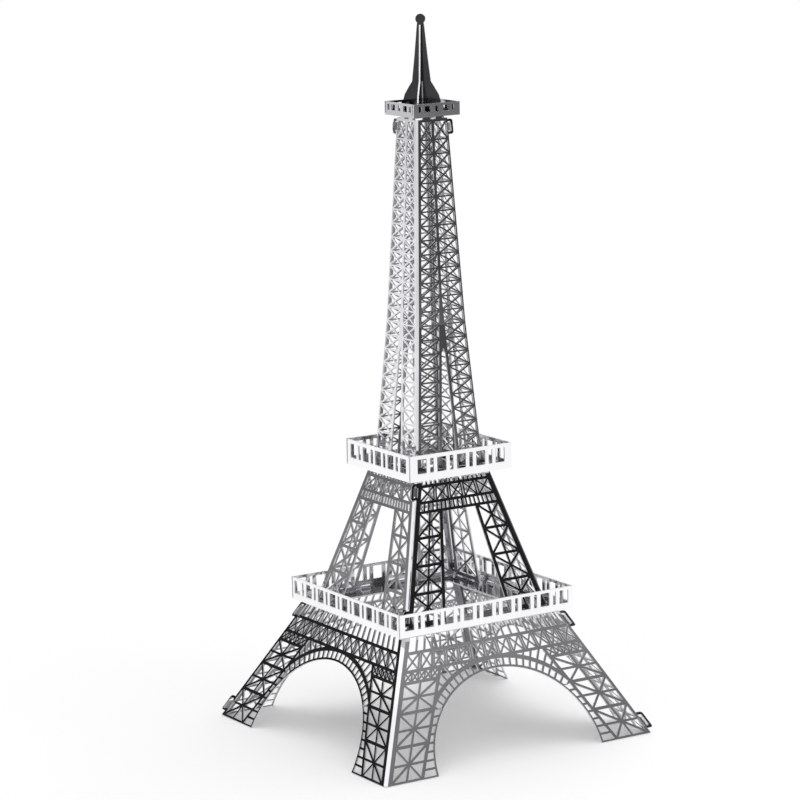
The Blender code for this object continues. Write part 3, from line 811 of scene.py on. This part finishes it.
def spire_plate(wide):
    """The wide plate is slotted from below, the cross plate from above."""
    slot = SHEET / 2 + PLAY
    right = [(h, z) for z, h in SPIRE_PROFILE]
    if wide:
        right += spire_disc()
        points = [(slot, SPIRE_CROSSING), (slot, SPIRE_BASE)] + right
        points += [(0.0, DISC_CENTRE + DISC_RADIUS)]
        outline = points + [(-u, z) for u, z in reversed(points) if u > 0.0]
    else:
        top = SPIRE_PROFILE[-1][0]
        points = right + [(slot, top), (slot, SPIRE_CROSSING - PLAY)]
        outline = points + [(-u, z) for u, z in reversed(points)]
    bm = bmesh.new()
    shift = SHEET / 2
    add_panel(bm, outline, [], lambda u, z: (u, -shift, z))
    return bm


# -------------------------------------------------------------- materials

def new_material(name):
    material = bpy.data.materials.new(name)
    material.use_nodes = True
    tree = material.node_tree
    return material, tree, tree.nodes["Principled BSDF"]


def noise_from(tree, scale, stretch=(1.0, 1.0, 1.0), detail=4.0):
    """Noise laid through the object in its own coordinates, stretched along its axes."""
    place = tree.nodes.new("ShaderNodeTexCoord")
    spread = tree.nodes.new("ShaderNodeMapping")
    spread.inputs["Scale"].default_value = stretch
    noise = tree.nodes.new("ShaderNodeTexNoise")
    noise.inputs["Scale"].default_value = scale
    noise.inputs["Detail"].default_value = detail
    tree.links.new(place.outputs["Object"], spread.inputs["Vector"])
    tree.links.new(spread.outputs["Vector"], noise.inputs["Vector"])
    return noise.outputs["Fac"]


def ranged(tree, value, low, high):
    """Map a noise value onto a range."""
    mapped = tree.nodes.new("ShaderNodeMapRange")
    mapped.inputs["From Min"].default_value = 0.3
    mapped.inputs["From Max"].default_value = 0.7
    mapped.inputs["To Min"].default_value = low
    mapped.inputs["To Max"].default_value = high
    tree.links.new(value, mapped.inputs["Value"])
    return mapped.outputs["Result"]


def tinted(tree, value, dark, light):
    """Colour ramp between two shades of steel."""
    ramp = tree.nodes.new("ShaderNodeValToRGB")
    ramp.color_ramp.elements[0].position = 0.3
    ramp.color_ramp.elements[0].color = dark + (1.0,)
    ramp.color_ramp.elements[1].position = 0.7
    ramp.color_ramp.elements[1].color = light + (1.0,)
    tree.links.new(value, ramp.inputs["Fac"])
    return ramp.outputs["Color"]


def bumped(tree, layers):
    """Stack bumps: (noise value, strength, height in metres)."""
    normal = None
    for value, strength, height in layers:
        bump = tree.nodes.new("ShaderNodeBump")
        bump.inputs["Strength"].default_value = strength
        bump.inputs["Distance"].default_value = height
        tree.links.new(value, bump.inputs["Height"])
        if normal is not None:
            tree.links.new(normal, bump.inputs["Normal"])
        normal = bump.outputs["Normal"]
    return normal


def rolled_steel(name, dark, light, smooth, rough, wave):
    """Mirror-bright sheet: slow waves from rolling, fine rolling grain, faint smudges."""
    material, tree, shader = new_material(name)
    shader.inputs["Metallic"].default_value = 1.0
    smudge = noise_from(tree, 90.0, detail=6.0)
    grain = noise_from(tree, 900.0, (1.0, 1.0, 0.12), 3.0)
    waves = noise_from(tree, 45.0, detail=1.0)
    # The smudges run between dark and light; how light or dark the pair is set for the inside,
    # loop, platform, gallery and spire copies is their painted shade, reflection or highlight
    tree.links.new(tinted(tree, smudge, dark, light), shader.inputs["Base Color"])
    tree.links.new(ranged(tree, smudge, smooth, rough), shader.inputs["Roughness"])
    normal = bumped(tree, [(waves, 1.0, wave), (grain, 0.25, 0.000004)])
    tree.links.new(normal, shader.inputs["Normal"])
    return material


def etched_edge_painted_highlight(name):
    """Matt, slightly pitted metal where the sheet was etched through, made lighter than the faces:
    a painted highlight on the cut edges.
    """
    material, tree, shader = new_material(name)
    shader.inputs["Metallic"].default_value = 1.0
    pits = noise_from(tree, 2500.0, detail=3.0)
    tree.links.new(tinted(tree, pits, (0.72, 0.72, 0.73), (0.93, 0.93, 0.94)),
                   shader.inputs["Base Color"])
    tree.links.new(ranged(tree, pits, 0.38, 0.60), shader.inputs["Roughness"])
    tree.links.new(bumped(tree, [(pits, 0.5, 0.00001)]), shader.inputs["Normal"])
    return material


# ----------------------------------------------------------------- studio

def white_floor():
    bpy.ops.mesh.primitive_plane_add(size=FLOOR_SIZE)
    floor = bpy.context.active_object
    floor.name = "studio_floor"
    material, tree, shader = new_material("studio_white")
    shader.inputs["Roughness"].default_value = 0.9
    shader.inputs["Specular IOR Level"].default_value = 0.0
    paper = noise_from(tree, 6.0, detail=2.0)
    tree.links.new(tinted(tree, paper, (0.90, 0.90, 0.90), (0.93, 0.93, 0.93)),
                   shader.inputs["Base Color"])
    floor.data.materials.append(material)


def soft_light(name, strength, spread, tilt_x, tilt_y):
    """Wide, soft light from above, which leaves a blurred shadow under the tower."""
    lamp = bpy.data.lights.new(name, "SUN")
    lamp.energy = strength
    lamp.angle = math.radians(spread)
    holder = bpy.data.objects.new(name, lamp)
    holder.rotation_euler = (math.radians(tilt_x), math.radians(tilt_y), 0.0)
    holder.visible_glossy = False
    bpy.context.scene.collection.objects.link(holder)


def profile(tree, height, stops):
    """Brightness by elevation. stops: (elevation in degrees, brightness), from below upwards."""
    ramp = tree.nodes.new("ShaderNodeValToRGB")
    marks = ramp.color_ramp.elements
    while len(marks) < len(stops):
        marks.new(0.5)
    for mark, (elevation, shade) in zip(marks, stops):
        mark.position = 0.5 + elevation / 180
        mark.color = (shade, shade, shade * 1.01, 1.0)
    tree.links.new(height, ramp.inputs["Fac"])
    return ramp.outputs["Color"]


def towards(tree, direction, azimuth):
    """1 near an azimuth counted from +X, fading to 0 where the panel there ends."""
    angle = math.radians(azimuth)
    dot = tree.nodes.new("ShaderNodeVectorMath")
    dot.operation = "DOT_PRODUCT"
    dot.inputs[1].default_value = (math.cos(angle), math.sin(angle), 0.0)
    fade = tree.nodes.new("ShaderNodeMapRange")
    fade.interpolation_type = "SMOOTHSTEP"
    fade.inputs["From Min"].default_value = math.cos(math.radians(PANEL_END))
    fade.inputs["From Max"].default_value = math.cos(math.radians(PANEL_FULL))
    tree.links.new(direction, dot.inputs[0])
    tree.links.new(dot.outputs["Value"], fade.inputs["Value"])
    return fade.outputs["Result"]


def blended(tree, share, first, second):
    mix = tree.nodes.new("ShaderNodeMix")
    mix.data_type = "RGBA"
    tree.links.new(share, mix.inputs["Factor"])
    for value, socket in ((first, mix.inputs["A"]), (second, mix.inputs["B"])):
        if isinstance(value, float):
            socket.default_value = (value, value, value, 1.0)
        else:
            tree.links.new(value, socket)
    return mix.outputs["Result"]


def elevation_share(tree, direction):
    """0 straight down, 0.5 at the horizon, 1 straight up, even in angle."""
    split = tree.nodes.new("ShaderNodeSeparateXYZ")
    angle = tree.nodes.new("ShaderNodeMath")
    angle.operation = "ARCSINE"
    share = tree.nodes.new("ShaderNodeMath")
    share.operation = "MULTIPLY_ADD"
    share.inputs[1].default_value = 1 / math.pi
    share.inputs[2].default_value = 0.5
    tree.links.new(direction, split.inputs["Vector"])
    tree.links.new(split.outputs["Z"], angle.inputs[0])
    tree.links.new(angle.outputs["Value"], share.inputs[0])
    return share.outputs["Value"]


def studio_world():
    """Room that the steel mirrors: white table below, dark flags at two sides, softboxes above."""
    world = bpy.data.worlds.new("studio")
    bpy.context.scene.world = world
    world.use_nodes = True
    tree = world.node_tree
    direction = tree.nodes.new("ShaderNodeTexCoord").outputs["Generated"]
    height = elevation_share(tree, direction)
    room = profile(tree, height, ROOM)
    for azimuth, stops in PANELS:
        share = towards(tree, direction, azimuth)
        room = blended(tree, share, room, profile(tree, height, stops))
    rays = tree.nodes.new("ShaderNodeLightPath")
    lit = blended(tree, rays.outputs["Is Glossy Ray"], FILL, room)
    seen = blended(tree, rays.outputs["Is Camera Ray"], lit, 1.0)
    tree.links.new(seen, tree.nodes["Background"].inputs["Color"])


def studio():
    studio_world()
    white_floor()
    soft_light("overhead_soft_light", *OVERHEAD)
    soft_light("rear_soft_light", *REAR)


def camera():
    lens = bpy.data.cameras.new("camera")
    lens.lens = CAMERA_LENS
    lens.sensor_width = CAMERA_SENSOR
    lens.clip_start, lens.clip_end = 0.01, 20.0
    view = bpy.data.objects.new("camera", lens)
    azimuth, drop = math.radians(CAMERA_AZIMUTH), math.radians(CAMERA_DROP)
    forward = Vector((math.sin(azimuth) * math.cos(drop), math.cos(azimuth) * math.cos(drop),
                      -math.sin(drop)))
    roll = Quaternion((0.0, 0.0, 1.0), math.radians(CAMERA_ROLL))
    view.rotation_mode = "QUATERNION"
    view.rotation_quaternion = forward.to_track_quat("-Z", "Y") @ roll
    view.location = Vector(CAMERA_PLACE) * MM
    bpy.context.scene.collection.objects.link(view)
    bpy.context.scene.camera = view


# --------------------------------------------------------------- assembly

def tower():
    # Cut edges: matt, pitted etched metal, made lighter than the faces as a painted highlight
    edge = etched_edge_painted_highlight("etched_edge_painted_highlight")
    outside = rolled_steel("frame_steel", (0.58, 0.58, 0.60), (0.70, 0.70, 0.72),
                           0.05, 0.13, 0.00012)
    # Darker copy of the same steel for the frames' inner sides: painted shade
    inside = rolled_steel("frame_steel_inside_painted_shade", (0.28, 0.28, 0.30), (0.42, 0.42, 0.44),
                          0.12, 0.25, 0.00012)
    # Near-black copy of the steel for the loops: painted dark reflection
    loop = rolled_steel("loop_steel_painted_dark_reflection", (0.06, 0.06, 0.065), (0.14, 0.14, 0.145),
                        0.15, 0.25, 0.00006)
    frame_steel_and_painted_shade = (outside, edge, inside, loop, edge, loop)
    # Near-white copy of the steel for the trays: painted highlight standing in for their bright
    # reflection
    platform = rolled_steel("platform_steel", (0.90, 0.90, 0.91), (0.96, 0.96, 0.97),
                            0.07, 0.15, 0.00010)
    # Darker copy of the steel for the top gallery: painted shade
    gallery = rolled_steel("gallery_steel_painted_shade", (0.40, 0.40, 0.41), (0.50, 0.50, 0.51),
                           0.10, 0.20, 0.00010)
    # Near-black copy of the steel for the spire: painted dark reflection
    spire = rolled_steel("spire_steel", (0.035, 0.035, 0.037), (0.06, 0.06, 0.062),
                         0.10, 0.20, 0.00006)
    platform_painted_highlight, gallery_painted_shade = (platform, edge, platform), (gallery, edge, gallery)
    spire_painted_dark_reflection = (spire, edge, spire)
    half_turn = math.pi
    finish_sheet(lower_frame(True), "lower_frame_front", frame_steel_and_painted_shade)
    finish_sheet(lower_frame(False), "lower_frame_back", frame_steel_and_painted_shade, half_turn)
    finish_sheet(first_platform(), "first_platform", platform_painted_highlight)
    finish_sheet(middle_frame(True), "middle_frame_right", frame_steel_and_painted_shade, flip=True)
    finish_sheet(middle_frame(False), "middle_frame_left", frame_steel_and_painted_shade, half_turn,
                 flip=True)
    finish_sheet(second_platform(), "second_platform", platform_painted_highlight)
    finish_sheet(upper_frame(True), "upper_frame_front", frame_steel_and_painted_shade)
    finish_sheet(upper_frame(False), "upper_frame_back", frame_steel_and_painted_shade, half_turn)
    finish_sheet(top_gallery(), "top_gallery", gallery_painted_shade)
    finish_sheet(spire_plate(True), "spire_plate_wide", spire_painted_dark_reflection,
                 -math.pi / 4)
    finish_sheet(spire_plate(False), "spire_plate_cross", spire_painted_dark_reflection,
                 math.pi / 4)


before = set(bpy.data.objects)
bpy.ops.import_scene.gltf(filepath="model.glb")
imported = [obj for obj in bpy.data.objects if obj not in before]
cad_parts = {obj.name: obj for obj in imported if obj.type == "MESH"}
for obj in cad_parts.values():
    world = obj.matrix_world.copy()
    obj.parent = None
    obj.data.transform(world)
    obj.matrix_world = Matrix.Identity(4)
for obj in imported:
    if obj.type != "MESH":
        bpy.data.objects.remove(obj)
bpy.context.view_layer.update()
bpy.context.scene.view_settings.view_transform = "Standard"
tower()
studio()
camera()
